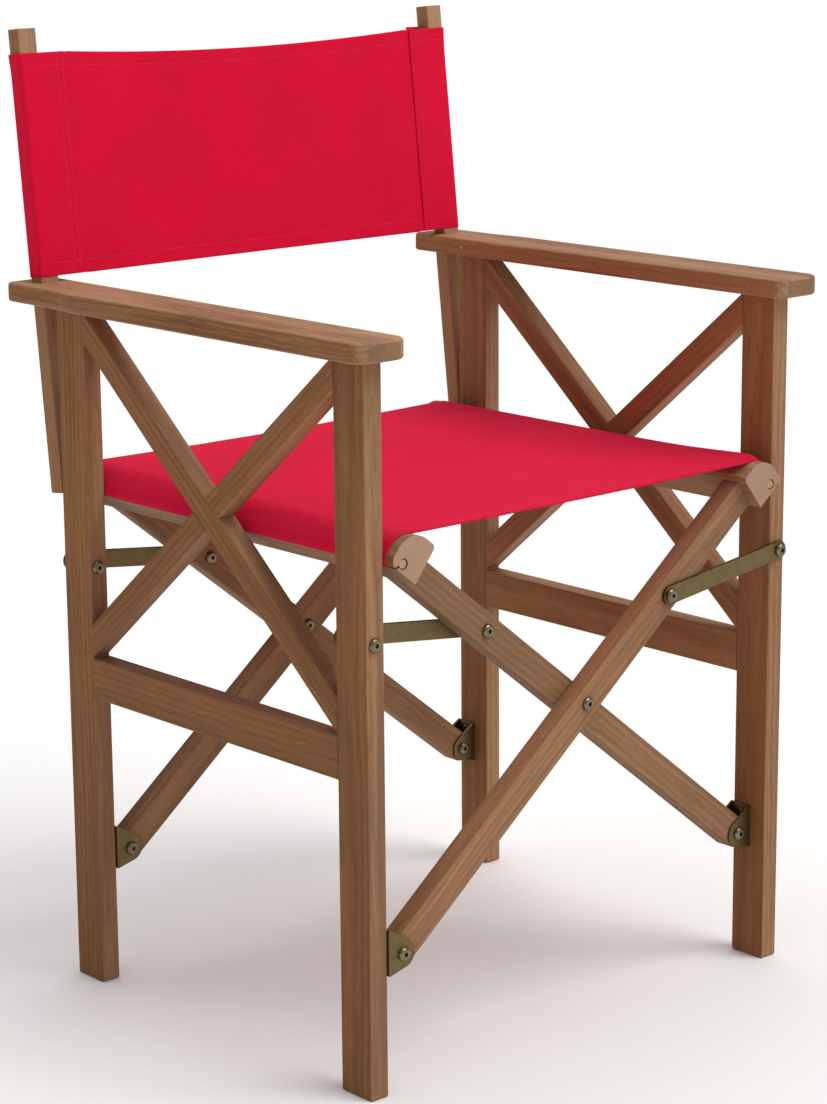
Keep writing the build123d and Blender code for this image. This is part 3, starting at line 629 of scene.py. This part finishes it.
def make_seat(cloth, thread):
    low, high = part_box("seat_sling")
    half = seat_half()
    crest = half[-1]
    path = [Vector((-p.x, p.y)) for p in half] + list(reversed(half))
    width = path_length(path)
    depth = high.y - low.y
    across = [width * k / 300 for k in range(301)]
    along = steps(depth, NEAR_STEP, FAR_STEP)
    section = path_points(path, across)
    on_rail = path_length(half)
    grid = []
    for v in along:
        row = []
        edge = min(v, depth - v)
        for u, p in zip(across, section):
            span = max(0.0, 1 - (p.x / crest.x) ** 2) if on_rail < u < width - on_rail else 0.0
            ends = abs(2 * v / depth - 1)
            y = low.y + v + (1 - 2 * v / depth) * 2.0 * MM * span * ends
            drop = 2.6 * MM * span * (1 - 0.4 * ends ** 3)
            ripple = noise.noise(Vector((p.x * 9, y * 14, 0.3))) * 0.8 * MM * span * (1 - ends ** 4)
            pull = noise.noise(Vector((p.x * 34, y * 12, 5.1))) * 0.25 * MM * span
            # the cloth doesn't lie down on the crown of the right rail near its front hem
            hump = 5.0 * MM * math.exp(-((u - width + on_rail - 12 * MM) / (13 * MM)) ** 2)
            hump *= (1 - math.exp(-(v / (10 * MM)) ** 2)) * math.exp(-(v / (75 * MM)) ** 2)
            over = noise.noise(Vector((u * 40, y * 9, 9.0))) * 0.3 * MM if u < on_rail and u > 0.045 else 0.0
            z = p.y - drop + ripple + pull + hump + max(0.0, over)
            if span:
                z += pucker(edge, u)
            row.append(Vector((p.x, y, z)))
        grid.append(row)
    extra = hem_extra(along, depth)
    top = [k for k, u in enumerate(across) if u > on_rail * 0.55 and u < width - on_rail * 0.55]
    seat = cloth_piece("seat_canvas", grid, lambda j, i: extra(j) if i in range(40, 261) else 0.0, cloth)
    normals = surface_normals(grid)
    rows = [nearest(along, HEM_ROW), nearest(along, depth - HEM_ROW)]
    sewn = stitches("seat_stitches", [grid_row(grid, normals, j, top) for j in rows], thread)
    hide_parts("seat_sling")
    for piece in (seat, sewn):
        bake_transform(piece)


POST_TILT = math.radians(6.15)
POST_LEAN = math.radians(0.25)
POST_FOOT_X = 0.257
POST_FOOT_Z = 0.478
POST_HALF_WIDTH = 10 * MM
POST_HALF_DEPTH = 8.5 * MM
LEG_BACK = FRAME_Y + 0.217     # the rear legs' back faces
BACK_ORIGIN = Vector((0, LEG_BACK + POST_HALF_DEPTH * math.cos(POST_TILT), POST_FOOT_Z))
BACK_UP = Vector((0, math.sin(POST_TILT), math.cos(POST_TILT)))
BACK_FRONT = Vector((0, -math.cos(POST_TILT), math.sin(POST_TILT)))
BACK_BOTTOM_Z = 0.681
BACK_TOP_Z = 0.886
BACK_LOW = (BACK_BOTTOM_Z - POST_FOOT_Z) / math.cos(POST_TILT)
BACK_HIGH = (BACK_TOP_Z - POST_FOOT_Z) / math.cos(POST_TILT)
SEAM = 36 * MM           # from the post's middle to the sleeve's seam
TUCK = 20 * MM           # of the panel between the sleeve's layers
LAYER_GAP = 3.4 * MM     # between the sleeve's layers at the seam
OPEN_HALF = POST_FOOT_X - 0.3 * math.tan(POST_LEAN) - SEAM     # half the span between the seams


def back_point(x, up, out):
    """Point of the back: x across, up along the posts, and out to the front."""
    return BACK_ORIGIN + Vector((x, 0, 0)) + BACK_UP * up + BACK_FRONT * out


def post_x(up):
    return POST_FOOT_X - up * math.tan(POST_LEAN)


def back_drop(x, v, height):
    """How far the panel's top edge hangs below its corners."""
    inside = max(0.0, 1 - (x / OPEN_HALF) ** 2)
    return 7.5 * MM * inside * (v / height) ** 2


def make_sleeve(side, cloth, thread):
    """Sewn sleeve round a post: front layer, outer face and back layer, which meet at the seam."""
    name = f"back_sleeve_{SIDES[side]}"
    front = POST_HALF_DEPTH + LIFT
    outer = POST_HALF_WIDTH + LIFT
    r = 2.4 * MM
    path = [Vector((-SEAM - 2 * MM, front)), Vector((outer - r, front))]
    path += arc((outer - r, front - r), r, 90, -90, 6)[1:]
    path += arc((outer - r, -front + r), r, 0, -90, 6)
    path += arc((-outer + 2.5 * MM, -front + r), r, -90, -30, 3)
    path += [Vector((-SEAM, front - LAYER_GAP)), Vector((-SEAM - 2 * MM, front - LAYER_GAP))]
    width = path_length(path)
    height = BACK_HIGH - BACK_LOW
    across = [width * k / 96 for k in range(97)]
    along = steps(height, NEAR_STEP, FAR_STEP)
    section = path_points(path, across)
    grid = []
    for v in along:
        row = []
        for u, p in zip(across, section):
            up = BACK_LOW + v
            out = p.y
            if u < SEAM:
                out += pucker(min(v, height - v), u)
                fullness = noise.noise(Vector((u * 45, v * 16, side * 3.0)))
                out += 0.45 * MM * max(0.0, fullness) * min(1.0, (SEAM - u) / (8 * MM))
            if side > 0 and u > width / 2:
                up += 2.6 * MM * (v / height) ** 6      # the back layer stands a little above the front one
            flare = 1.2 * MM * math.exp(-((height - v) / (12 * MM)) ** 2) if p.x > outer - r else 0.0
            row.append(back_point(side * (post_x(up) + p.x + flare), up, out))
        grid.append(row if side > 0 else list(reversed(row)))
    sleeve = cloth_piece(name + "_canvas", grid, lambda j, i: 0.0, cloth)
    normals = surface_normals(grid)
    seam_rows = []
    for offset in (2.6 * MM, 8.0 * MM):
        i = nearest(across, offset)
        i = i if side > 0 else len(across) - 1 - i
        seam_rows.append(grid_column(grid, normals, i, range(len(along))))
    face = sorted(k if side > 0 else len(across) - 1 - k
                  for k, u in enumerate(across) if u < SEAM + outer - r)
    for wanted in (HEM_ROW, height - HEM_ROW):
        seam_rows.append(grid_row(grid, normals, nearest(along, wanted), face))
    sewn = stitches(name + "_stitches", seam_rows, thread)
    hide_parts(name)
    for piece in (sleeve, sewn):
        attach(piece, SIDES[side] + "_frame")


def make_panel(cloth, thread):
    """Canvas between the two seams. Its sides lie between the layers of each sleeve."""
    front = POST_HALF_DEPTH + LIFT - 1.0 * MM
    height = BACK_HIGH - BACK_LOW
    half = OPEN_HALF + TUCK
    across = [2 * half * k / 220 for k in range(221)]
    along = steps(height, NEAR_STEP, FAR_STEP)
    grid = []
    for v in along:
        row = []
        for u in across:
            x = u - half
            inside = max(0.0, 1 - (x / OPEN_HALF) ** 2)
            up = BACK_LOW + v - back_drop(x, v, height)
            out = front - 4.5 * MM * inside
            out += (noise.noise(Vector((x * 7, up * 9, 2.0))) * 1.0 * MM
                    + noise.noise(Vector((x * 28, up * 3, 7.0))) * 0.5 * MM) * inside ** 0.5
            if inside:
                out += pucker(min(v, height - v), u)
            row.append(back_point(x, up, out))
        grid.append(row)
    extra = hem_extra(along, height)
    panel = cloth_piece("back_canvas", grid, lambda j, i: extra(j) if 12 < i < 208 else 0.0, cloth)
    normals = surface_normals(grid)
    shown = [k for k, u in enumerate(across) if abs(u - half) < OPEN_HALF - 1 * MM]
    rows = [nearest(along, HEM_ROW), nearest(along, height - HEM_ROW)]
    sewn = stitches("back_stitches", [grid_row(grid, normals, j, shown) for j in rows], thread)
    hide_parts("back_panel")
    for piece in (panel, sewn):
        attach(piece, "left_frame")
        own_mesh(piece)



def make_canvas():
    seat_cloth = canvas("canvas_seat", (1, 0, 0), (0, 1, 0), 0.05, 0.015)
    back_cloth = canvas("canvas_back", (1, 0, 0), tuple(BACK_UP), 0.11, 0.013)
    thread = thread_material()
    make_seat(seat_cloth, thread)
    for side in SIDES:
        make_sleeve(side, back_cloth, thread)
    make_panel(back_cloth, thread)


# ---------------------------------------------------------------- the scene

make_camera()
make_studio()
dress_wood()
dress_metal()
make_canvas()
